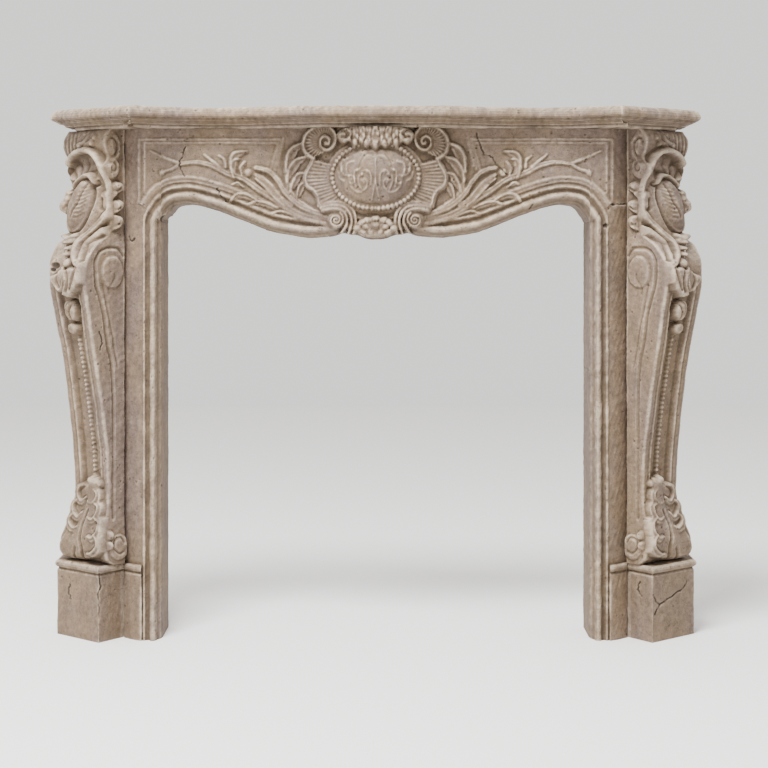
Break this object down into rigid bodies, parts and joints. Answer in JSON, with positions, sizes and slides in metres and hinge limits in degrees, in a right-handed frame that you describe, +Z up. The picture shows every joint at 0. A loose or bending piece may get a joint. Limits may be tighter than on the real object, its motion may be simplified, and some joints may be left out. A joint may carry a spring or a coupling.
{
  "type": "fireplace mantel",
  "caption": "Carved stone fireplace mantel: moulded shelf over a carved arched frieze, with scrolled console legs on plinths set on the diagonal, around an open hearth.",
  "frame": {"origin": "middle of the part's box, on the floor", "axes": "+Z up, -Y out of the carved front into the room, +Y into the wall, +X to the right as the front is seen"},
  "size_m": [1.4112, 0.264, 1.1405],
  "materials": {
    "stone": "weathered warm grey limestone or marble, matt, with dirt in the hollows and fine cracks"
  },
  "bodies": {
    "root": {"shelf": "stone", "frieze": "stone", "left_jamb": "stone", "right_jamb": "stone", "left_leg": "stone", "right_leg": "stone", "left_plinth": "stone", "right_plinth": "stone"}
  },
  "joints": []
}
